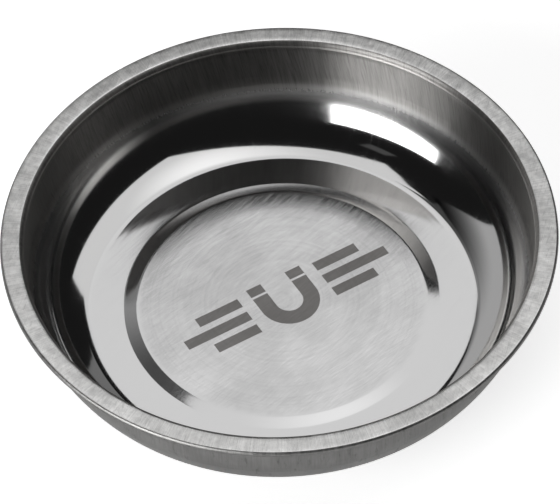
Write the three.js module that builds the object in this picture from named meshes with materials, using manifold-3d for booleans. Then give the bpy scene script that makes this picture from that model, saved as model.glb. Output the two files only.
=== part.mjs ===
// Round magnetic parts dish: a pressed stainless steel bowl with a rubber covered
// ring magnet clamped under its floor by a nut on a welded stud.
// Millimetres, +Z up. The origin is on the table, under the centre of the dish.
import * as THREE from 'three';
import Module from 'manifold-3d';
import { mergeVertices } from 'three/addons/utils/BufferGeometryUtils.js';

// Driving dimensions of the bowl
const SHEET = 0.6;               // thickness of the stainless sheet
const RIM_RADIUS = 75;           // outside of the turned down rim
const BOWL_DEPTH = 31.1;         // from the floor ring up to the rim face
const DISC_RISE = 1.05;          // how far the centre is pressed up above the floor ring
const DISC_RADIUS = 33;          // flat part of the raised centre
const DISC_DROP = 0.16;          // how much the disc falls from there to the top of its bank
const BANK_RADIUS = 39.85;       // top of the sloping bank round the disc
const BANK_ROUND = 0.4;          // how far each side of the bank's top and foot is rounded
const STEP_RADIUS = 43.65;       // foot of the bank on the floor ring
const FLOOR_RADIUS = 53.4;       // crease where the wall starts
const CREASE_ROUND = 2;          // how far each side of the crease is rounded
const CREASE_SLOPE = 22;         // slope of the wall just outside the crease, degrees
const SHOULDER_RADIUS = 68.07;   // inside of the wall where its round part ends
const SHOULDER_HEIGHT = 15;      // height of that place above the floor ring
const SHOULDER_SLOPE = 69;       // slope of the wall there, degrees
const WALL_FULLNESS = 0.42;      // handle length of the wall's curve over its chord
const BAND_RADIUS = 68.6;        // straight band of the wall, at its foot
const BAND_HEIGHT = 17.2;        // height of that foot above the floor ring
const MOUTH_RADIUS = 69;         // inside of the wall just under the rim
const MOUTH_HEIGHT = 28.8;       // top of the straight band
const RIM_INNER_RADIUS = 1.3;    // round from the wall into the rim face
const RIM_EDGE_RADIUS = 0.9;     // round on the outside of the rim
const RIM_DROP = 1.3;            // height of the rim's turned down edge
const BEAD = 0.3;                // how far the bead under the rim stands into the bowl
const BEAD_HEIGHT = 0.8;
const BEAD_SIDE = 0.27;          // height of each slanting side of the bead

// Driving dimensions of what is under the floor
const GAP = 0.05;                // between two pieces that are clamped together
const COVER_RADIUS = 37;
const COVER_WALL = 1.5;
const COVER_FLOOR = 1.6;
const COVER_LIP = 0.8;           // turned in over the top of the magnet
const COVER_LIP_WIDTH = 2.6;
const COVER_HOLE = 7;            // access to the nut
const COVER_EDGE = 1.5;          // round at the foot and the shoulder of the cover
const GRIP_RINGS = [13, 19, 25, 31];
const GRIP_DEPTH = 0.4;
const GRIP_WIDTH = 1.2;
const MAGNET_RADIUS = 34.5;
const MAGNET_HOLE = 16;
const MAGNET_THICKNESS = 8;
const MAGNET_CHAMFER = 0.5;
const KEEPER_RADIUS = 35;
const KEEPER_SHEET = 2;
const KEEPER_HAT_RADIUS = 11.5;  // outside of the raised centre, at its top
const KEEPER_HAT_FOOT = 14;      // and at its foot
const KEEPER_HAT_HEIGHT = 6.6;
const KEEPER_HOLE = 2.75;

// Standard M5 hardware
const THREAD_RADIUS = 2.5;
const THREAD_ROOT = 2.05;
const THREAD_PITCH = 0.8;
const STUD_LENGTH = 11.4;
const STUD_FLANGE_RADIUS = 3.25;
const STUD_FLANGE = 0.8;
const NUT_ACROSS_FLATS = 8;
const NUT_THICKNESS = 4;
const NUT_BORE = 2.6;
const NUT_CHAMFER = 0.45;
const WASHER_RADIUS = 5;
const WASHER_THICKNESS = 1;
const WASHER_CHAMFER = 0.15;
const SPRING_RADIUS = 4.5;
const SPRING_THICKNESS = 1.2;
const SPRING_CHAMFER = 0.1;
const SPRING_SPLIT = 0.6;        // width of the cut in the spring washer
const SPRING_SPLIT_ANGLE = 30;   // slant of that cut, degrees
const WASHER_HOLE = 2.7;

// Heights of the stack above the table
const KEEPER_Z = COVER_FLOOR + GAP;
const MAGNET_Z = KEEPER_Z + KEEPER_SHEET + GAP;
const LIP_Z = MAGNET_Z + MAGNET_THICKNESS + GAP;
const COVER_TOP = LIP_Z + COVER_LIP;
const DISC_UNDERSIDE = COVER_TOP + GAP;
const DISC_TOP = DISC_UNDERSIDE + SHEET;
const FLOOR_Z = DISC_TOP - DISC_RISE;
const HAT_UNDERSIDE = KEEPER_Z + KEEPER_HAT_HEIGHT;
const WASHER_Z = HAT_UNDERSIDE - GAP - WASHER_THICKNESS;
const SPRING_Z = WASHER_Z - GAP - SPRING_THICKNESS;
const NUT_Z = SPRING_Z - GAP - NUT_THICKNESS;
const STUD_TOP = DISC_UNDERSIDE - GAP;

// Fineness of the round surfaces
const BOWL_SEGMENTS = 72;
const BASE_SEGMENTS = 48;
const HARDWARE_SEGMENTS = 36;
const STUD_SEGMENTS = 20;
const ARC_STEPS = 3;
const DISC_STEPS = 3;
const CORNER_STEPS = 2;
const WALL_STEPS = 9;

const steel = { color: 0xa9a8a6, roughness: 0.3, metalness: 1 };
const zinc = { color: 0xb9bcc0, roughness: 0.4, metalness: 1 };
const ferrite = { color: 0x35363a, roughness: 0.7, metalness: 0.2 };
const rubber = { color: 0x18181a, roughness: 0.8, metalness: 0 };

const object = new THREE.Group();

function addPiece(name, geometry, look, height = 0) {
  const mesh = new THREE.Mesh(geometry, new THREE.MeshStandardMaterial(look));
  mesh.name = name;
  mesh.position.z = height;
  object.add(mesh);
}

function point(radius, height) {
  return new THREE.Vector2(radius, height);
}

// Body of revolution about Z from a profile of (radius, height) points.
function revolve(profile, segments) {
  return new THREE.LatheGeometry(profile, segments).rotateX(Math.PI / 2);
}

// Quarter round between two directions given in degrees, centred at (radius, height).
function arc(centreRadius, centreHeight, size, from, to) {
  const points = [];
  for (let i = 0; i <= ARC_STEPS; i += 1) {
    const angle = THREE.MathUtils.degToRad(from + ((to - from) * i) / ARC_STEPS);
    points.push(point(centreRadius + size * Math.cos(angle), centreHeight + size * Math.sin(angle)));
  }
  return points;
}

// The same line moved sideways by a distance, to its right as it is walked.
function offsetLine(line, distance) {
  return line.map((here, i) => {
    const before = line[Math.max(i - 1, 0)];
    const after = line[Math.min(i + 1, line.length - 1)];
    const first = (i > 0 ? here.clone().sub(before) : after.clone().sub(here)).normalize();
    const second = (i < line.length - 1 ? after.clone().sub(here) : first.clone()).normalize();
    const across = first.clone().add(second).normalize();
    const stretch = distance / across.dot(second);
    return point(here.x + across.y * stretch, here.y - across.x * stretch);
  });
}

// Round part of the wall, from the crease to the shoulder.
function wallCurve() {
  const start = point(FLOOR_RADIUS, FLOOR_Z);
  const end = point(SHOULDER_RADIUS, FLOOR_Z + SHOULDER_HEIGHT);
  const handle = WALL_FULLNESS * start.distanceTo(end);
  const out = THREE.MathUtils.degToRad(CREASE_SLOPE);
  const up = THREE.MathUtils.degToRad(SHOULDER_SLOPE);
  const curve = new THREE.CubicBezierCurve(
    start,
    point(start.x + handle * Math.cos(out), start.y + handle * Math.sin(out)),
    point(end.x - handle * Math.cos(up), end.y - handle * Math.sin(up)),
    end,
  );
  return curve.getPoints(WALL_STEPS);
}

// Bend from one point to another, steered by a third.
function bend(start, control, end, steps) {
  return new THREE.QuadraticBezierCurve(start, control, end).getPoints(steps);
}

// Rounded corner. It leaves each of its two lines at the given distance from the corner.
function roundCorner(before, corner, after, reach) {
  const start = before.clone().sub(corner).setLength(reach).add(corner);
  const end = after.clone().sub(corner).setLength(reach).add(corner);
  return bend(start, corner, end, CORNER_STEPS);
}

// Raised centre, its bank, the floor ring and the crease, up to the start of the wall.
function floorLine(wallStart, wallNext) {
  const flat = point(DISC_RADIUS, DISC_TOP);
  const brow = point(BANK_RADIUS, DISC_TOP - DISC_DROP);
  const foot = point(STEP_RADIUS, FLOOR_Z);
  const fall = bend(flat, point((DISC_RADIUS + BANK_RADIUS) / 2, DISC_TOP), brow, DISC_STEPS);
  return [
    point(0, DISC_TOP),
    ...fall.slice(0, -1),
    ...roundCorner(fall.at(-2), brow, foot, BANK_ROUND),
    ...roundCorner(brow, foot, wallStart, BANK_ROUND),
    ...roundCorner(foot, wallStart, wallNext, CREASE_ROUND),
  ];
}

// Rim: a round out of the wall, the flat face, the round edge and the turned down end.
function rimLine() {
  const top = FLOOR_Z + BOWL_DEPTH;
  const edge = RIM_RADIUS - RIM_EDGE_RADIUS;
  return [
    ...arc(MOUTH_RADIUS + RIM_INNER_RADIUS, top - RIM_INNER_RADIUS, RIM_INNER_RADIUS, 180, 90),
    ...arc(edge, top - RIM_EDGE_RADIUS, RIM_EDGE_RADIUS, 90, 0),
    point(RIM_RADIUS, top - RIM_DROP),
  ];
}

function dish() {
  const [wallStart, ...wall] = wallCurve();
  const floor = [
    ...floorLine(wallStart, wall[0]),
    ...wall,
    point(BAND_RADIUS, FLOOR_Z + BAND_HEIGHT),
  ];
  const mouth = FLOOR_Z + MOUTH_HEIGHT;
  const bead = [
    point(MOUTH_RADIUS, mouth),
    point(MOUTH_RADIUS - BEAD, mouth + BEAD_SIDE),
    point(MOUTH_RADIUS - BEAD, mouth + BEAD_HEIGHT - BEAD_SIDE),
    point(MOUTH_RADIUS, mouth + BEAD_HEIGHT),
  ];
  const rim = rimLine();
  const inside = [...floor, ...bead, ...rim];
  const outside = offsetLine([...floor, ...rim], SHEET);
  return revolve([...outside, ...inside.reverse()], BOWL_SEGMENTS);
}

// Ring with a chamfer of the given size on all four of its edges.
function ring(outer, inner, thickness, chamfer) {
  return [
    point(inner + chamfer, 0),
    point(outer - chamfer, 0),
    point(outer, chamfer),
    point(outer, thickness - chamfer),
    point(outer - chamfer, thickness),
    point(inner + chamfer, thickness),
    point(inner, thickness - chamfer),
    point(inner, chamfer),
    point(inner + chamfer, 0),
  ];
}

// Steel plate under the magnet. Its raised centre leaves room for the nut.
function keeperPlate() {
  const top = KEEPER_HAT_HEIGHT + KEEPER_SHEET;
  const taper = KEEPER_HAT_FOOT - KEEPER_HAT_RADIUS;
  return [
    point(KEEPER_HAT_FOOT, 0),
    point(KEEPER_RADIUS, 0),
    point(KEEPER_RADIUS, KEEPER_SHEET),
    point(KEEPER_HAT_FOOT, KEEPER_SHEET),
    point(KEEPER_HAT_RADIUS, top),
    point(KEEPER_HOLE, top),
    point(KEEPER_HOLE, KEEPER_HAT_HEIGHT),
    point(KEEPER_HAT_FOOT - KEEPER_SHEET - taper, KEEPER_HAT_HEIGHT),
    point(KEEPER_HAT_FOOT - KEEPER_SHEET, 0),
    point(KEEPER_HAT_FOOT, 0),
  ];
}

// Rubber boot: a cup whose lip is turned in over the magnet, with grip grooves below.
function rubberCover() {
  const hold = COVER_RADIUS - COVER_WALL;
  const grip = GRIP_RINGS.flatMap((radius) => [
    point(radius, 0),
    point(radius + GRIP_DEPTH, GRIP_DEPTH),
    point(radius + GRIP_WIDTH - GRIP_DEPTH, GRIP_DEPTH),
    point(radius + GRIP_WIDTH, 0),
  ]);
  const round = COVER_RADIUS - COVER_EDGE;
  return [
    point(COVER_HOLE, 0),
    ...grip,
    ...arc(round, COVER_EDGE, COVER_EDGE, -90, 0),
    ...arc(round, COVER_TOP - COVER_EDGE, COVER_EDGE, 0, 90),
    point(hold - COVER_LIP_WIDTH, COVER_TOP),
    point(hold - COVER_LIP_WIDTH, COVER_TOP - COVER_LIP),
    point(hold, COVER_TOP - COVER_LIP),
    point(hold, COVER_FLOOR),
    point(COVER_HOLE, COVER_FLOOR),
    point(COVER_HOLE, 0),
  ];
}

// Weld stud, hanging from its flange: the thread is drawn as rings one pitch apart.
function weldStud() {
  const profile = [point(0, -STUD_LENGTH), point(THREAD_ROOT, -STUD_LENGTH)];
  const turns = Math.floor((STUD_LENGTH - 2 * STUD_FLANGE) / THREAD_PITCH);
  for (let i = 0; i < turns; i += 1) {
    const root = -STUD_LENGTH + i * THREAD_PITCH;
    profile.push(point(THREAD_RADIUS, root + THREAD_PITCH / 2), point(THREAD_ROOT, root + THREAD_PITCH));
  }
  profile.push(
    point(THREAD_RADIUS, -STUD_FLANGE - THREAD_PITCH / 2),
    point(THREAD_RADIUS, -STUD_FLANGE),
    point(STUD_FLANGE_RADIUS, -STUD_FLANGE),
    point(STUD_FLANGE_RADIUS, 0),
    point(0, 0),
  );
  return profile;
}

let manifold;

async function loadManifold() {
  manifold = await Module();
  manifold.setup();
}

function toSolid(geometry) {
  geometry.deleteAttribute('normal');
  geometry.deleteAttribute('uv');
  const merged = mergeVertices(geometry);
  const mesh = new manifold.Mesh({
    numProp: 3,
    vertProperties: new Float32Array(merged.attributes.position.array),
    triVerts: new Uint32Array(merged.index.array),
  });
  return new manifold.Manifold(mesh);
}

function toGeometry(solid) {
  const mesh = solid.getMesh();
  const geometry = new THREE.BufferGeometry();
  geometry.setAttribute('position', new THREE.BufferAttribute(mesh.vertProperties, 3));
  geometry.setIndex(new THREE.BufferAttribute(mesh.triVerts, 1));
  geometry.computeVertexNormals();
  return geometry;
}

// Hexagon nut: a hexagonal prism with a round bore, its corners turned off at both ends.
function hexNut() {
  const corner = NUT_ACROSS_FLATS / Math.sqrt(3);
  const outline = new THREE.Shape();
  for (let i = 0; i < 6; i += 1) {
    const angle = (i * Math.PI) / 3;
    outline[i ? 'lineTo' : 'moveTo'](corner * Math.cos(angle), corner * Math.sin(angle));
  }
  outline.closePath();
  const prism = new THREE.ExtrudeGeometry(outline, { depth: NUT_THICKNESS, bevelEnabled: false });
  const turned = revolve([
    point(NUT_BORE, 0),
    point(corner - NUT_CHAMFER, 0),
    point(corner + NUT_CHAMFER, NUT_CHAMFER),
    point(corner + NUT_CHAMFER, NUT_THICKNESS - NUT_CHAMFER),
    point(corner - NUT_CHAMFER, NUT_THICKNESS),
    point(NUT_BORE, NUT_THICKNESS),
    point(NUT_BORE, 0),
  ], HARDWARE_SEGMENTS);
  return toGeometry(toSolid(prism).intersect(toSolid(turned)));
}

// Spring lock washer: a square section ring with one slanting cut.
function springWasher() {
  const section = ring(SPRING_RADIUS, WASHER_HOLE, SPRING_THICKNESS, SPRING_CHAMFER);
  const whole = revolve(section, HARDWARE_SEGMENTS);
  const cut = new THREE.BoxGeometry(SPRING_RADIUS * 2, SPRING_SPLIT, SPRING_THICKNESS * 3);
  const slant = THREE.MathUtils.degToRad(SPRING_SPLIT_ANGLE);
  cut.rotateX(slant).translate(SPRING_RADIUS, 0, SPRING_THICKNESS / 2);
  return toGeometry(toSolid(whole).subtract(toSolid(cut)));
}

await loadManifold();

addPiece('dish', dish(), steel);
addPiece('weld_stud', revolve(weldStud(), STUD_SEGMENTS), zinc, STUD_TOP);
addPiece(
  'magnet_ring',
  revolve(ring(MAGNET_RADIUS, MAGNET_HOLE, MAGNET_THICKNESS, MAGNET_CHAMFER), BASE_SEGMENTS),
  ferrite,
  MAGNET_Z,
);
addPiece('keeper_plate', revolve(keeperPlate(), BASE_SEGMENTS), zinc, KEEPER_Z);
addPiece(
  'flat_washer',
  revolve(ring(WASHER_RADIUS, WASHER_HOLE, WASHER_THICKNESS, WASHER_CHAMFER), HARDWARE_SEGMENTS),
  zinc,
  WASHER_Z,
);
addPiece('spring_washer', springWasher(), zinc, SPRING_Z);
addPiece('hex_nut', hexNut(), zinc, NUT_Z);
addPiece('rubber_cover', revolve(rubberCover(), BASE_SEGMENTS), rubber);

export default object;
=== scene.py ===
"""Looks of the round magnetic parts dish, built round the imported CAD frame."""
import math

import bpy
from mathutils import Matrix, Vector


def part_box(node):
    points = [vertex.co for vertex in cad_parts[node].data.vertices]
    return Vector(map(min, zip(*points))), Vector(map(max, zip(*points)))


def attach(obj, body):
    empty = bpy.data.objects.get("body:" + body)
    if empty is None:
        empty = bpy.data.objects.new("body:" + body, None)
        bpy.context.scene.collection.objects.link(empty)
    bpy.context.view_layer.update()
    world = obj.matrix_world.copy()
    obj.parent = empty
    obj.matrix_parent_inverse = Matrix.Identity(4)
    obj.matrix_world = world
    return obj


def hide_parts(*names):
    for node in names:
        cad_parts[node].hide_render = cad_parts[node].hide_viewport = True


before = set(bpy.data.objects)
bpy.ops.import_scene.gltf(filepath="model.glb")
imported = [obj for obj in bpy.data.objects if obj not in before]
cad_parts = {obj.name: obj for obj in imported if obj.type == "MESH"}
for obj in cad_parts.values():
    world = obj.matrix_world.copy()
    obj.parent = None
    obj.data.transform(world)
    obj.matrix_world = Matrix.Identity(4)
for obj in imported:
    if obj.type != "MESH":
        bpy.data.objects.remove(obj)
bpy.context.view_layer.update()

MM = 0.001
dish_low, dish_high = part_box("dish")

# The bowl, millimetres and degrees. Its diameter and its rim's height come from the frame.
SHEET = 0.6
RIM_RADIUS = (dish_high.x - dish_low.x) / 2 / MM
RIM_TOP = dish_high.z / MM
BOWL_DEPTH = 31.1
FLOOR_Z = RIM_TOP - BOWL_DEPTH
DISC_RISE = 1.18            # how far the middle of the floor is pressed up
DISC_RADIUS = 31.5          # flat part of the middle
DISC_DROP = 0.19            # how far the disc falls from there to its bank
BANK_RADIUS = 39.85         # top of the bank
BANK_ROUND = 0.4
STEP_RADIUS = 43.65         # foot of the bank
RING_HOLLOW = 0.12          # how far the floor ring dips from there
RING_HOLLOW_RADIUS = 51.0   # where it has reached its lowest
CREASE_ROUND = 1.4
FLOOR_RADIUS = 53.4         # crease where the wall starts
CREASE_SLOPE = 22.0
SHOULDER_RADIUS = 68.07
SHOULDER_HEIGHT = 15.0
SHOULDER_SLOPE = 69.0
SHOULDER_ROUND = (0.2, 0.3)  # below and above the shoulder
WALL_FULLNESS = 0.42
BAND_RADIUS = 68.6
BAND_HEIGHT = 17.2
BAND_ROUND = 0.8
MOUTH_RADIUS = 69.0
MOUTH_HEIGHT = 28.8
RIM_INNER_RADIUS = 1.3
RIM_EDGE_RADIUS = 0.9
RIM_DROP = 1.3
BEAD = 0.3
BEAD_HEIGHT = 0.8

# How finely the bowl is cut up
BOWL_SEGMENTS = 512
DISC_STEPS = 5
FALL_STEPS = 10
ROUND_STEPS = 6
SHOULDER_STEPS = 5
CREASE_STEPS = 12
CREASE_JOIN = 5             # points of the wall that the crease's round takes the place of
BEAD_STEPS = 8
RIM_STEPS = 4
EDGE_SPLIT = 3              # points of the rim's outer edge that are as satin as its face
WELD = 1e-5                 # points nearer than this are one point


# ---------------------------------------------------------------- profile helpers

def arc(centre_r, centre_z, size, start, end, steps=8):
    """Points of a round between two directions in degrees."""
    points = []
    for i in range(steps + 1):
        angle = math.radians(start + (end - start) * i / steps)
        points.append((centre_r + size * math.cos(angle), centre_z + size * math.sin(angle)))
    return points


def bezier(a, b, c, d, steps):
    """A cubic curve from a to d, with b and c as its handles."""
    points = []
    for i in range(steps + 1):
        t = i / steps
        s = 1 - t
        weights = (s * s * s, 3 * s * s * t, 3 * s * t * t, t * t * t)
        points.append(tuple(sum(w * p[k] for w, p in zip(weights, (a, b, c, d))) for k in (0, 1)))
    return points


def bend(start, control, end, steps):
    """A line from start to end that sets out towards control."""
    points = []
    for i in range(steps + 1):
        t = i / steps
        p = Vector(start) * (1 - t) ** 2 + Vector(control) * (2 * t * (1 - t)) + Vector(end) * t * t
        points.append((p.x, p.y))
    return points


def round_corner(before, corner, after, reach_before, reach_after, steps):
    """Round a corner that leaves its two lines at the given distances from it."""
    c = Vector(corner)
    start = c + (Vector(before) - c).normalized() * reach_before
    end = c + (Vector(after) - c).normalized() * reach_after
    return bend(start, c, end, steps)


def wall_curve(steps=48):
    """The round part of the wall, from the crease to the shoulder."""
    start = (FLOOR_RADIUS, FLOOR_Z)
    end = (SHOULDER_RADIUS, FLOOR_Z + SHOULDER_HEIGHT)
    handle = WALL_FULLNESS * math.dist(start, end)
    out = math.radians(CREASE_SLOPE)
    up = math.radians(SHOULDER_SLOPE)
    return bezier(
        start,
        (start[0] + handle * math.cos(out), start[1] + handle * math.sin(out)),
        (end[0] - handle * math.cos(up), end[1] - handle * math.sin(up)),
        end,
        steps,
    )


def straight(a, b, steps):
    """Points strictly between a and b."""
    run, climb = b[0] - a[0], b[1] - a[1]
    return [(a[0] + run * i / steps, a[1] + climb * i / steps) for i in range(1, steps)]


def offset(line, distance):
    """The same line moved to its right as it is walked."""
    moved = []
    for i, here in enumerate(line):
        before = line[max(i - 1, 0)]
        after = line[min(i + 1, len(line) - 1)]
        first = (Vector(here) - Vector(before)) if i else (Vector(after) - Vector(here))
        second = (Vector(after) - Vector(here)) if i < len(line) - 1 else first
        first, second = first.normalized(), second.normalized()
        across = (first + second).normalized()
        stretch = distance / across.dot(second)
        moved.append((here[0] + across.y * stretch, here[1] - across.x * stretch))
    return moved


# ---------------------------------------------------------------- mesh helpers

def lathe(name, zones, segments):
    """A body of revolution. zones is a list of (material index, profile points in mm)."""
    profile, bands = [], []
    for index, points in zones:
        for p in points:
            if profile and math.dist(profile[-1], p) < WELD:
                continue
            profile.append(p)
            bands.append(index)
    verts, rows = [], []
    for r, z in profile:
        if r < WELD:
            rows.append([len(verts)] * segments)
            verts.append((0, 0, z * MM))
            continue
        row = []
        for k in range(segments):
            a = 2 * math.pi * k / segments
            row.append(len(verts))
            verts.append((r * MM * math.cos(a), r * MM * math.sin(a), z * MM))
        rows.append(row)
    faces, marks = [], []
    for j in range(len(rows) - 1):
        for k in range(segments):
            m = (k + 1) % segments
            face = [rows[j][k], rows[j][m], rows[j + 1][m], rows[j + 1][k]]
            face = [v for i, v in enumerate(face) if v != face[i - 1]]
            if len(face) > 2:
                faces.append(face)
                marks.append(bands[j + 1])
    mesh = bpy.data.meshes.new(name)
    mesh.from_pydata(verts, [], faces)
    for polygon, mark in zip(mesh.polygons, marks):
        polygon.material_index = mark
        polygon.use_smooth = True
    mesh.update()
    piece = bpy.data.objects.new(name, mesh)
    bpy.context.scene.collection.objects.link(piece)
    return piece


# ---------------------------------------------------------------- material helpers

NOISE_LOW = 0.3
NOISE_HIGH = 0.7
LINE_NOISE = (1.0, 3.0, 0.6)  # scale, detail and roughness of noise that is drawn out into lines


class Nodes:
    """A small builder for one material's node tree."""

    def __init__(self, name):
        self.material = bpy.data.materials.new(name)
        self.material.use_nodes = True
        self.tree = self.material.node_tree
        self.shader = self.tree.nodes["Principled BSDF"]

    def add(self, kind, inputs=None, **settings):
        node = self.tree.nodes.new(kind)
        for key, value in settings.items():
            setattr(node, key, value)
        for key, value in (inputs or {}).items():
            self.put(node.inputs[key], value)
        return node

    def put(self, socket, value):
        if isinstance(value, bpy.types.NodeSocket):
            self.tree.links.new(value, socket)
        elif isinstance(value, bpy.types.Node):
            self.tree.links.new(value.outputs[0], socket)
        else:
            socket.default_value = value

    def set(self, **inputs):
        for key, value in inputs.items():
            self.put(self.shader.inputs[key.replace("_", " ")], value)

    def math(self, operation, *values):
        node = self.add("ShaderNodeMath", operation=operation)
        for socket, value in zip(node.inputs, values):
            self.put(socket, value)
        return node.outputs[0]

    def vector(self, operation, *values):
        node = self.add("ShaderNodeVectorMath", operation=operation)
        for socket, value in zip(node.inputs, values):
            self.put(socket, value)
        return node.outputs[0]

    def ramp(self, value, low, high, out_low=0.0, out_high=1.0):
        return self.add(
            "ShaderNodeMapRange",
            {"Value": value, "From Min": low, "From Max": high, "To Min": out_low, "To Max": out_high},
            interpolation_type="SMOOTHSTEP",
        ).outputs[0]

    def noise(self, vector, scale=1.0, detail=2.0, roughness=0.5):
        return self.add(
            "ShaderNodeTexNoise",
            {"Vector": vector, "Scale": scale, "Detail": detail, "Roughness": roughness},
        ).outputs[0]

    def position(self):
        return self.add("ShaderNodeTexCoord").outputs["Object"]

    def spread(self, noise, low, high):
        """Noise stretched so that its usual range covers low to high."""
        return self.ramp(noise, NOISE_LOW, NOISE_HIGH, low, high)

    def product(self, first, *others):
        for other in others:
            first = self.math("MULTIPLY", first, other)
        return first

    def less(self, mask, amount):
        """1 where mask is 0, and less by amount where it is 1."""
        return self.math("SUBTRACT", 1.0, self.math("MULTIPLY", mask, amount))


def grain(nodes, angle, size):
    """Noise drawn out into lines at an angle in the XY plane. size is their width and length in mm."""
    width, length = size[0] * MM, size[1] * MM
    turned = nodes.add("ShaderNodeMapping", {
        "Vector": nodes.position(),
        "Rotation": (0, 0, -math.radians(angle)),
    })
    scaled = nodes.vector("MULTIPLY", turned.outputs[0], (1 / length, 1 / width, 1 / width))
    return nodes.noise(scaled, *LINE_NOISE)


def meridian_grain(nodes, size, slant=0.0):
    """Lines that run up the wall. size is their width at the rim and their length in mm, and
    slant turns them, in radians for each metre."""
    width, length = size[0] * MM, size[1] * MM
    place = nodes.position()
    flat = nodes.vector("MULTIPLY", place, (1, 1, 0))
    turn = nodes.math("MULTIPLY", height(nodes), slant)
    flat = nodes.add("ShaderNodeVectorRotate", {"Vector": flat, "Angle": turn}, rotation_type="Z_AXIS")
    around = nodes.vector("NORMALIZE", flat)
    around = nodes.vector("MULTIPLY", around, (RIM_RADIUS * MM / width,) * 3)
    up = nodes.vector("MULTIPLY", place, (0, 0, 1 / length))
    return nodes.noise(nodes.vector("ADD", around, up), *LINE_NOISE)


def height(nodes):
    split = nodes.add("ShaderNodeSeparateXYZ", {"Vector": nodes.position()})
    return split.outputs["Z"]


def up_wall(nodes, z, heights, low=0.0, high=1.0):
    """Goes from low to high between two heights in mm above the floor ring."""
    bottom, top = heights
    return nodes.ramp(z, (FLOOR_Z + bottom) * MM, (FLOOR_Z + top) * MM, low, high)


# ---------------------------------------------------------------- materials

STEEL = (0.615, 0.613, 0.612, 1)
FLOOR_STEEL = (0.645, 0.643, 0.645, 1)
RIM_STEEL = (0.93, 0.925, 0.913, 1)
# Outside steel: darker partly from its own duller finish and partly with painted shade for the darker
# reflection it shows
SHADED_OUTSIDE_STEEL = (0.31, 0.307, 0.302, 1)
DISC_BRUSHED = 41.0          # the floor is brushed inside this radius, mm
BRUSH_FADE = 3.0
GRAIN_ANGLE = 48.0
CROSSED_TURN = 14.0          # between the two directions of brushing, degrees
RING_PITCH = 1.6             # faint turned rings, mm
FLOOR_ANISOTROPY = 0.8
MARK_ROUGHNESS = 0.5
RELIEF = 0.02                # depth of brush lines, mm
RIM_RELIEF = 0.03
DENT_RELIEF = 0.04

# Width and length of the lines left by brushing, millimetres
FLOOR_FINE = (0.25, 8.0)
FLOOR_BROAD = (1.2, 12.0)
FLOOR_CROSSED = (0.3, 6.0)
WALL_FINE = (0.5, 12.0)
WALL_HAIRS = (0.3, 6.0)
WALL_BROAD = (4.0, 20.0)
RIM_FINE = (0.35, 10.0)
RIM_HAIRS = (0.2, 4.0)
OUTSIDE_FINE = (0.6, 8.0)
OUTSIDE_STAINS = (1.6, 6.0)

# The wall, in heights above the floor ring, millimetres
WALL_SLANT = -2.5
HAIR_SLANT = WALL_SLANT * 1.4
WALL_ANISOTROPY = 0.86
SATIN_WARMTH = (0.0, 0.02, 0.05)
POLISH_FADES = (4.0, 9.5)
SATIN_STARTS = (9.0, 17.5)
# Where a ring of painted shade on the wall fades in and fades out again
BAND_STARTS = (11.5, 16.4)
SHADE_RING_STARTS = (10.6, 11.8)
SHADE_RING_ENDS = (14.5, 12.6)
BEAD_BLUR = 0.1
RIM_HAIR_TURN = 25.0

# The etched mark on the disc, millimetres
MARK_ANGLE = 29.0
MARK_X = 1.5
MARK_Y = 1.0
MARK_BOW = 6.2
MARK_STROKE = 4.6
MARK_BEND_BELOW = 1.0
MARK_LEG = 8.0
MARK_TIP = 3.4
MARK_GAP = 0.7
MARK_BAR = 3.2
MARK_BAR_PITCH = 5.2
MARK_BAR_START = 12.0
MARK_LONG_BAR = 20.0
MARK_SHORT_BAR = 13.5
MARK_DARKENING = (0.5, 0.515, 0.527)


def radial_tangent(n):
    """The gloss of the wall spreads up and down it, as it does off lines turned round the dish."""
    n.set(Tangent=n.add("ShaderNodeTangent", direction_type="RADIAL", axis="Z"), Anisotropic_Rotation=0.25)


def etched_mark(n):
    """A plain horseshoe magnet between two groups of bars. 1 inside the mark, 0 outside."""
    turned = n.add("ShaderNodeMapping", {
        "Vector": n.position(),
        "Location": (-MARK_X * MM, -MARK_Y * MM, 0),
    })
    turned = n.add("ShaderNodeMapping", {
        "Vector": turned,
        "Rotation": (0, 0, -math.radians(MARK_ANGLE)),
        "Scale": (1 / MM, 1 / MM, 1 / MM),
    })
    split = n.add("ShaderNodeSeparateXYZ", {"Vector": turned})
    u, v = split.outputs["X"], split.outputs["Y"]
    side = n.math("ABSOLUTE", u)
    across = n.math("ABSOLUTE", v)
    below = n.math("MINIMUM", n.math("ADD", v, MARK_BEND_BELOW), 0.0)
    bow = n.math("SQRT", n.math("ADD", n.math("POWER", side, 2.0), n.math("POWER", below, 2.0)))
    bow = n.math("COMPARE", bow, MARK_BOW, MARK_STROKE / 2)
    bow = n.math("MULTIPLY", bow, n.math("LESS_THAN", v, MARK_LEG))
    tip_gap = n.math("COMPARE", v, MARK_LEG - MARK_TIP, MARK_GAP / 2)
    bow = n.math("SUBTRACT", bow, n.math("MULTIPLY", bow, tip_gap))
    mark = bow
    for row, length in ((0.0, MARK_LONG_BAR), (MARK_BAR_PITCH, MARK_SHORT_BAR)):
        bar = n.math("COMPARE", across, row, MARK_BAR / 2)
        reach = n.math("COMPARE", side, MARK_BAR_START + length / 2, length / 2)
        mark = n.math("MAXIMUM", mark, n.math("MULTIPLY", bar, reach))
    return mark


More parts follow.
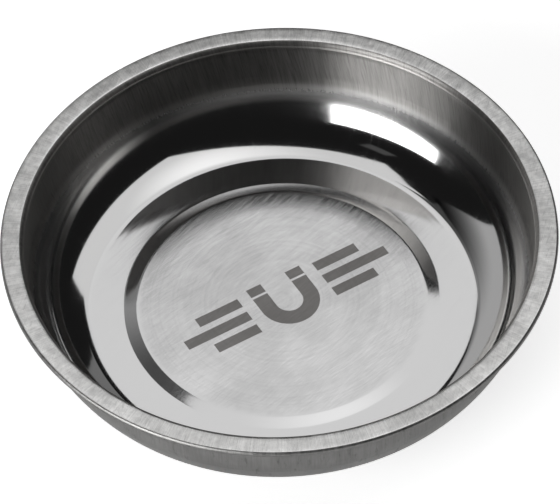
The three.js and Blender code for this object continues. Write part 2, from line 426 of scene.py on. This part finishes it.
def steel_floor():
    """Polished steel with a brushed disc and the etched mark in its middle."""
    n = Nodes("steel_floor")
    fine = grain(n, GRAIN_ANGLE, FLOOR_FINE)
    broad = grain(n, GRAIN_ANGLE, FLOOR_BROAD)
    crossed = grain(n, GRAIN_ANGLE - CROSSED_TURN, FLOOR_CROSSED)
    cloud = n.noise(n.position(), 60.0, 5.0, 0.65)
    stain = n.noise(n.position(), 28.0, 2.0)
    flat = n.vector("MULTIPLY", n.position(), (1, 1, 0))
    radius = n.add("ShaderNodeVectorMath", {0: flat}, operation="LENGTH").outputs["Value"]
    disc = n.ramp(radius, DISC_BRUSHED * MM, (DISC_BRUSHED - BRUSH_FADE) * MM)
    rough = n.spread(fine, 0.06, 0.12)
    rough = n.math("ADD", rough, n.product(disc, n.spread(broad, 0.01, 0.05)))
    across = math.radians(GRAIN_ANGLE + 90)
    n.set(Tangent=n.add("ShaderNodeCombineXYZ", {"X": math.cos(across), "Y": math.sin(across)}))
    n.set(Anisotropic=n.product(disc, FLOOR_ANISOTROPY))
    mark = etched_mark(n)
    rough = n.add("ShaderNodeMix", {"Factor": mark, "A": rough, "B": MARK_ROUGHNESS})
    n.set(Metallic=1.0, Roughness=rough)
    rings = n.noise(n.vector("MULTIPLY", radius, (1 / (RING_PITCH * MM),) * 3), 1.0, 2.0)
    tone = n.product(
        n.ramp(cloud, 0.25, 0.75, 0.9, 1.08),
        n.ramp(fine, 0.25, 0.75, 0.93, 1.06),
        n.ramp(crossed, 0.25, 0.75, 0.92, 1.03),
        n.spread(stain, 0.95, 1.02),
        n.spread(rings, 0.95, 1.02),
    )
    wear_and_shade = n.less(disc, n.math("SUBTRACT", 1.0, tone))
    color = n.vector("MULTIPLY", wear_and_shade, FLOOR_STEEL[:3])
    etched = n.vector("SUBTRACT", (1, 1, 1), n.vector("MULTIPLY", mark, MARK_DARKENING))
    n.set(Base_Color=n.vector("MULTIPLY", color, etched))
    bump = n.add("ShaderNodeBump", {"Distance": RELIEF * MM, "Height": fine})
    n.put(bump.inputs["Strength"], n.math("ADD", 0.03, n.product(disc, 0.17)))
    n.set(Normal=bump)
    return n.material


def steel_wall():
    """Polished at its foot, a dark ring of painted shade above that, then satin lines up to the rim, their
    colour darkened with painted shade.
    """
    n = Nodes("steel_wall")
    lines = meridian_grain(n, WALL_FINE, WALL_SLANT)
    hairs = n.ramp(meridian_grain(n, WALL_HAIRS, HAIR_SLANT), 0.5, 0.72)
    broad = meridian_grain(n, WALL_BROAD)
    z = height(n)
    satin = up_wall(n, z, SATIN_STARTS)
    band = up_wall(n, z, BAND_STARTS)
    bead_top = MOUTH_HEIGHT + BEAD_HEIGHT
    bead = n.product(
        up_wall(n, z, (MOUTH_HEIGHT - BEAD_BLUR, MOUTH_HEIGHT + BEAD_BLUR)),
        up_wall(n, z, (bead_top + BEAD_BLUR, bead_top - BEAD_BLUR)),
    )
    n.set(Metallic=1.0)
    n.set(Anisotropic=n.product(satin, WALL_ANISOTROPY))
    radial_tangent(n)
    rough = n.spread(lines, 0.37, 0.47)
    polish = up_wall(n, z, POLISH_FADES, 0.065, 0.13)
    polished = n.math("ADD", polish, n.product(hairs, n.ramp(broad, 0.4, 0.7), 0.08))
    n.set(Roughness=n.add("ShaderNodeMix", {"Factor": satin, "A": polished, "B": rough}))
    # Painted shade: above the band the colour is darkened, standing in for the dim reflections of the
    # upper wall; grain lines and hairs vary how much, and the bead is darkened a quarter less
    wear_and_shade = n.math("ADD", n.ramp(lines, NOISE_HIGH, NOISE_LOW, 0.54, 0.66), n.product(hairs, 0.09))
    tone = n.less(n.product(band, n.less(bead, 0.25)), wear_and_shade)
    # Painted shade: a ring of darker colour between the side box's highlight and the shoulder
    shade_ring = n.product(up_wall(n, z, SHADE_RING_STARTS), up_wall(n, z, SHADE_RING_ENDS))
    tone = n.product(tone, n.less(shade_ring, 0.3))
    warm = n.vector("SUBTRACT", (1, 1, 1), n.vector("MULTIPLY", band, SATIN_WARMTH))
    n.set(Base_Color=n.vector("MULTIPLY", n.vector("MULTIPLY", tone, STEEL[:3]), warm))
    bump = n.add("ShaderNodeBump", {"Distance": RELIEF * MM, "Height": lines})
    n.put(bump.inputs["Strength"], n.math("ADD", 0.02, n.product(satin, 0.13)))
    n.set(Normal=bump)
    return n.material


def steel_rim():
    """Satin, mottled, with short hairs across it."""
    n = Nodes("steel_rim")
    lines = meridian_grain(n, RIM_FINE)
    hairs = n.ramp(grain(n, GRAIN_ANGLE + RIM_HAIR_TURN, RIM_HAIRS), 0.52, 0.75)
    cloud = n.noise(n.position(), 350.0, 5.0, 0.7)
    patch = n.noise(n.position(), 110.0, 3.0, 0.6)
    n.set(Metallic=1.0, Anisotropic=0.7)
    n.set(Tangent=n.add("ShaderNodeTangent", direction_type="RADIAL", axis="Z"))
    n.set(Roughness=n.spread(cloud, 0.30, 0.42))
    tone = n.product(
        n.spread(cloud, 0.77, 1.1),
        n.spread(lines, 0.86, 1.03),
        n.spread(patch, 0.84, 1.06),
        n.less(hairs, 0.25),
    )
    n.set(Base_Color=n.vector("MULTIPLY", tone, RIM_STEEL[:3]))
    bump = n.add("ShaderNodeBump", {"Strength": 0.3, "Distance": RIM_RELIEF * MM, "Height": lines})
    dents = {"Strength": 0.5, "Distance": DENT_RELIEF * MM, "Height": cloud, "Normal": bump}
    n.set(Normal=n.add("ShaderNodeBump", dents))
    return n.material


def steel_outside():
    """Darker and duller than the inside, with stains that run up it. The darker colour is partly the
    outside's own duller finish and partly painted shade, standing in for the darker reflection of the
    floor that it shows.
    """
    n = Nodes("steel_outside")
    lines = meridian_grain(n, OUTSIDE_FINE)
    stains = n.ramp(meridian_grain(n, OUTSIDE_STAINS), 0.56, 0.74)
    cloud = n.noise(n.position(), 90.0, 4.0)
    n.set(Metallic=1.0)
    n.set(Roughness=n.spread(lines, 0.36, 0.48))
    tone = n.product(n.spread(lines, 0.78, 1.0), n.spread(cloud, 0.82, 1.0), n.less(stains, 0.35))
    # The outside's colour, partly painted shade
    n.set(Base_Color=n.vector("MULTIPLY", tone, SHADED_OUTSIDE_STEEL[:3]))
    bump = n.add("ShaderNodeBump", {"Strength": 0.4, "Distance": RIM_RELIEF * MM, "Height": lines})
    n.set(Normal=bump)
    return n.material


def speckled(name, color, roughness, metallic, scale, contrast, relief):
    """A hidden piece's surface: fine grains and broad clouds of tone. relief is in mm."""
    n = Nodes(name)
    grains = n.noise(n.position(), scale, 4.0, 0.6)
    cloud = n.noise(n.position(), scale / 8, 3.0)
    tone = n.product(n.spread(grains, 1 - contrast, 1.0), n.spread(cloud, 1 - contrast, 1.0))
    n.set(Base_Color=n.vector("MULTIPLY", tone, color), Metallic=metallic)
    n.set(Roughness=n.spread(grains, roughness * 0.85, roughness * 1.15))
    n.set(Normal=n.add("ShaderNodeBump", {"Strength": 0.5, "Distance": relief * MM, "Height": grains}))
    return n.material


# ---------------------------------------------------------------- pieces

def floor_line(wall):
    """Profile of the floor from its middle to the crease, and the crease's round."""
    disc = FLOOR_Z + DISC_RISE
    flat, brow = (DISC_RADIUS, disc), (BANK_RADIUS, disc - DISC_DROP)
    step, crease = (STEP_RADIUS, FLOOR_Z + RING_HOLLOW), (FLOOR_RADIUS, FLOOR_Z)
    hollow = (RING_HOLLOW_RADIUS, FLOOR_Z)
    fall = bend(flat, ((DISC_RADIUS + BANK_RADIUS) / 2, disc), brow, FALL_STEPS)
    ring = bend(step, ((STEP_RADIUS + RING_HOLLOW_RADIUS) / 2, FLOOR_Z), hollow, FALL_STEPS)
    floor = [(0, disc), *straight((0, disc), flat, DISC_STEPS), *fall[:-1]]
    floor += round_corner(fall[-2], brow, step, BANK_ROUND, BANK_ROUND, ROUND_STEPS)
    floor += straight(floor[-1], step, ROUND_STEPS)[:-1]
    floor += round_corner(brow, step, ring[1], BANK_ROUND, BANK_ROUND, ROUND_STEPS)
    floor += ring[1:]
    crease_round = round_corner(
        step, crease, wall[CREASE_JOIN - 1], CREASE_ROUND, CREASE_ROUND, CREASE_STEPS
    )
    return floor, crease_round


def upper_line(wall):
    """Profile of the wall from above the crease to the bead."""
    shoulder = (SHOULDER_RADIUS, FLOOR_Z + SHOULDER_HEIGHT)
    band_foot = (BAND_RADIUS, FLOOR_Z + BAND_HEIGHT)
    band_top = (MOUTH_RADIUS, FLOOR_Z + MOUTH_HEIGHT)
    upper = wall[CREASE_JOIN:-1]
    upper += round_corner(wall[-2], shoulder, band_foot, *SHOULDER_ROUND, SHOULDER_STEPS)
    upper += round_corner(shoulder, band_foot, band_top, BAND_ROUND, BAND_ROUND, ROUND_STEPS)
    upper += straight(band_foot, band_top, ROUND_STEPS)[1:]
    return upper


def bead_line():
    mouth = FLOOR_Z + MOUTH_HEIGHT
    bead = [(MOUTH_RADIUS, mouth)]
    for i in range(1, BEAD_STEPS):
        swell = BEAD * math.sin(math.pi * i / BEAD_STEPS)
        bead.append((MOUTH_RADIUS - swell, mouth + BEAD_HEIGHT * i / BEAD_STEPS))
    bead.append((MOUTH_RADIUS, mouth + BEAD_HEIGHT))
    return bead


def make_dish():
    """The pressed bowl, one sheet: floor, wall, turned rim and the outside under them."""
    wall = wall_curve()
    floor, crease_round = floor_line(wall)
    half = CREASE_STEPS // 2 + 1
    floor += crease_round[:half]
    lower = crease_round[half:] + upper_line(wall)
    mouth = MOUTH_RADIUS + RIM_INNER_RADIUS
    inner = arc(mouth, RIM_TOP - RIM_INNER_RADIUS, RIM_INNER_RADIUS, 180, 90)
    edge = RIM_RADIUS - RIM_EDGE_RADIUS
    rim = inner[-2:] + straight(inner[-1], (edge, RIM_TOP), RIM_STEPS)
    outer = arc(edge, RIM_TOP - RIM_EDGE_RADIUS, RIM_EDGE_RADIUS, 90, 0)
    outer += [(RIM_RADIUS, RIM_TOP - RIM_DROP)]
    under = offset(floor + lower + inner[:-2] + rim + outer, SHEET)
    rim += outer[:EDGE_SPLIT]
    back = outer[EDGE_SPLIT:] + under[::-1]
    zones = [(0, floor), (1, lower + bead_line() + inner[:-2]), (2, rim), (3, back)]
    piece = lathe("bowl", zones, BOWL_SEGMENTS)
    for material in (steel_floor(), steel_wall(), steel_rim(), steel_outside()):
        piece.data.materials.append(material)
    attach(piece, "root")
    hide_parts("dish")


def finish_nodes():
    """Finishes for the pieces of the foot, which keep the CAD's shapes."""
    zinc = speckled("zinc", (0.66, 0.68, 0.71), 0.34, 1.0, 700.0, 0.15, 0.006)
    looks = {
        "weld_stud": zinc,
        "keeper_plate": zinc,
        "flat_washer": zinc,
        "spring_washer": zinc,
        "hex_nut": zinc,
        "magnet_ring": speckled("ferrite", (0.06, 0.06, 0.065), 0.6, 0.0, 1400.0, 0.35, 0.02),
        "rubber_cover": speckled("rubber", (0.02, 0.02, 0.021), 0.6, 0.0, 1100.0, 0.3, 0.02),
    }
    for name, material in looks.items():
        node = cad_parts[name]
        for slot in node.material_slots:
            slot.material = material


# ---------------------------------------------------------------- camera, light and floor

# The camera, degrees and millimetres
CAMERA_ELEVATION = 50.05
CAMERA_ROLL = -2.57
CAMERA_DISTANCE = 1024.4
CAMERA_RIGHT = -0.565
CAMERA_UP = 14.017
LENS = 239.57
SENSOR = 36

# The studio, metres. Outlines of hanging sheets are in units of OVERHEAD_HEIGHT.
FLOOR_CLEARANCE = 0.1 * MM    # keeps the foot's face clear of the paper
FLOOR_HALF = 6.0
OVERHEAD_HEIGHT = 2.0
FLAG_HEIGHT = 1.99            # just under the overhead box
BOX_DISTANCE = 2.0
BACK_DISTANCE = 3.0
BACK_AZIMUTHS = (105, 160)
BACK_ELEVATIONS = (0, 56)
BACK_FADE_FROM = 27
OVERHEAD_OUTLINE = ((-0.46, -0.03), (0.66, -0.365), (1.3, 0.96), (-0.5, 0.91))
OVERHEAD_HOT = (0.24, 0.02)
FLAG_OUTLINE = (
    (-0.262, 0.33),
    (-0.62, 0.3),
    (-0.7, 1.1),
    (-0.5, 1.08),
    (-0.44, 0.79),
    (-0.365, 0.545),
)
FLAG_HOT = (-0.52, 0.97)
ROOM = (0.012, 0.012, 0.012, 1)
ROOM_BEHIND = (0.8, 0.8, 0.8, 1)


def make_camera():
    e = math.radians(CAMERA_ELEVATION)
    look = Vector((0, math.cos(e), -math.sin(e)))
    level = Vector((1, 0, 0))
    upright = level.cross(look)
    roll = math.radians(CAMERA_ROLL)
    right = level * math.cos(roll) + upright * math.sin(roll)
    up = upright * math.cos(roll) - level * math.sin(roll)
    centre = Vector((0, 0, FLOOR_Z))
    place = centre - look * CAMERA_DISTANCE + right * CAMERA_RIGHT + up * CAMERA_UP
    data = bpy.data.cameras.new("camera")
    data.lens = LENS
    data.sensor_width = SENSOR
    camera = bpy.data.objects.new("camera", data)
    rotation = Matrix((right, up, -look)).transposed().to_4x4()
    camera.matrix_world = Matrix.Translation(place * MM) @ rotation
    bpy.context.scene.collection.objects.link(camera)
    bpy.context.scene.camera = camera


def direction(azimuth, elevation, distance=BOX_DISTANCE):
    """A place seen from the dish at an azimuth (from +X towards +Y) and an elevation."""
    a, e = math.radians(azimuth), math.radians(elevation)
    return Vector((
        distance * math.cos(e) * math.cos(a),
        distance * math.cos(e) * math.sin(a),
        distance * math.sin(e),
    ))


def curved(azimuths, elevations, distance, steps=12):
    """Corners and faces of a sheet that curves round the dish at one distance."""
    corners, faces = [], []
    for i in range(steps + 1):
        azimuth = azimuths[0] + (azimuths[1] - azimuths[0]) * i / steps
        for j in range(steps + 1):
            elevation = elevations[0] + (elevations[1] - elevations[0]) * j / steps
            corners.append(direction(azimuth, elevation, distance))
            if i < steps and j < steps:
                k = i * (steps + 1) + j
                faces.append((k, k + 1, k + steps + 2, k + steps + 1))
    return corners, faces


def hung(outline, level):
    """Places at one height, from pairs in units of OVERHEAD_HEIGHT."""
    return [(x * OVERHEAD_HEIGHT, y * OVERHEAD_HEIGHT, level) for x, y in outline]


def soft_box(name, corners, radiance, edge=1.0, hot=(0, 0, 0), reach=1.0, fade=None, faces=None):
    """A glowing sheet. Its light falls off from radiance at hot to radiance * edge at reach
    from it, and to nothing between the two heights in fade."""
    mesh = bpy.data.meshes.new(name)
    mesh.from_pydata(corners, [], faces or [tuple(range(len(corners)))])
    box = bpy.data.objects.new(name, mesh)
    bpy.context.scene.collection.objects.link(box)
    box.visible_camera = False
    box.visible_shadow = False
    material = bpy.data.materials.new(name)
    material.use_nodes = True
    tree = material.node_tree
    tree.nodes.clear()
    output = tree.nodes.new("ShaderNodeOutputMaterial")
    glow = tree.nodes.new("ShaderNodeEmission")
    place = tree.nodes.new("ShaderNodeTexCoord")
    away = tree.nodes.new("ShaderNodeVectorMath")
    away.operation = "DISTANCE"
    away.inputs[1].default_value = hot
    fall = falloff(tree, 0.0, reach, radiance, radiance * edge)
    tree.links.new(place.outputs["Object"], away.inputs[0])
    tree.links.new(away.outputs["Value"], fall.inputs["Value"])
    strength = fall.outputs[0]
    if fade:
        split = tree.nodes.new("ShaderNodeSeparateXYZ")
        top = falloff(tree, *fade, 1.0, 0.0)
        both = tree.nodes.new("ShaderNodeMath")
        both.operation = "MULTIPLY"
        tree.links.new(place.outputs["Object"], split.inputs[0])
        tree.links.new(split.outputs["Z"], top.inputs["Value"])
        tree.links.new(strength, both.inputs[0])
        tree.links.new(top.outputs[0], both.inputs[1])
        strength = both.outputs[0]
    tree.links.new(strength, glow.inputs["Strength"])
    tree.links.new(glow.outputs[0], output.inputs["Surface"])
    mesh.materials.append(material)


def falloff(tree, start, end, low, high):
    """A node that goes smoothly from low at start to high at end."""
    node = tree.nodes.new("ShaderNodeMapRange")
    node.interpolation_type = "SMOOTHSTEP"
    node.inputs["From Min"].default_value = start
    node.inputs["From Max"].default_value = end
    node.inputs["To Min"].default_value = low
    node.inputs["To Max"].default_value = high
    return node


def make_studio():
    """Soft boxes overhead and at the side, paper behind, and a dark room round them."""
    overhead = hung(OVERHEAD_OUTLINE, OVERHEAD_HEIGHT)
    hot = hung([OVERHEAD_HOT], OVERHEAD_HEIGHT)[0]
    soft_box("overhead_box", overhead, 1.45, edge=0.64, hot=hot, reach=0.9)
    hot = hung([FLAG_HOT], FLAG_HEIGHT)[0]
    soft_box("flag", hung(FLAG_OUTLINE, FLAG_HEIGHT), 0.36, edge=0.22, hot=hot)
    side = [direction(201, 1), direction(247, 1), direction(243, 40), direction(193, 31)]
    soft_box("side_box", side, 10.0, edge=0.4, hot=tuple(direction(222, 18)), reach=0.9)
    corners, faces = curved(BACK_AZIMUTHS, BACK_ELEVATIONS, BACK_DISTANCE)
    fade = [direction(0, e, BACK_DISTANCE).z for e in (BACK_FADE_FROM, BACK_ELEVATIONS[1])]
    soft_box("back_paper", corners, 0.53, fade=fade, faces=faces)
    strip = [direction(a, e, BACK_DISTANCE) for a, e in ((77, 0), (77, 32), (61, 32), (61, 0))]
    soft_box("back_strip", strip, 0.22)
    lamp = [direction(198, 54), direction(214, 56), direction(214, 62), direction(198, 60)]
    soft_box("far_lamp", lamp, 0.09)
    world = bpy.data.worlds.new("studio")
    bpy.context.scene.world = world
    world.use_nodes = True
    tree = world.node_tree
    background = tree.nodes["Background"]
    path = tree.nodes.new("ShaderNodeLightPath")
    mix = tree.nodes.new("ShaderNodeMix")
    mix.data_type = "RGBA"
    mix.inputs[6].default_value = ROOM
    mix.inputs[7].default_value = ROOM_BEHIND
    tree.links.new(path.outputs["Is Camera Ray"], mix.inputs[0])
    tree.links.new(mix.outputs[2], background.inputs["Color"])


def make_floor():
    """White paper, which looks brighter than the light it throws on the dish."""
    mesh = bpy.data.meshes.new("floor")
    half, low = FLOOR_HALF, -FLOOR_CLEARANCE
    corners = [(-half, -half, low), (half, -half, low), (half, half, low), (-half, half, low)]
    mesh.from_pydata(corners, [], [(0, 1, 2, 3)])
    floor = bpy.data.objects.new("floor", mesh)
    bpy.context.scene.collection.objects.link(floor)
    n = Nodes("floor_paper")
    mottle = n.noise(n.position(), 3.0, 2.0)
    n.set(Roughness=n.spread(mottle, 0.7, 0.9), Base_Color=(0.85, 0.85, 0.85, 1))
    seen = n.add("ShaderNodeLightPath").outputs["Is Camera Ray"]
    n.set(Emission_Color=(1, 1, 1, 1), Emission_Strength=n.ramp(seen, 0.0, 1.0, 0.15, 0.66))
    mesh.materials.append(n.material)


make_dish()
finish_nodes()
make_camera()
make_studio()
make_floor()
bpy.context.scene.view_settings.view_transform = "Standard"
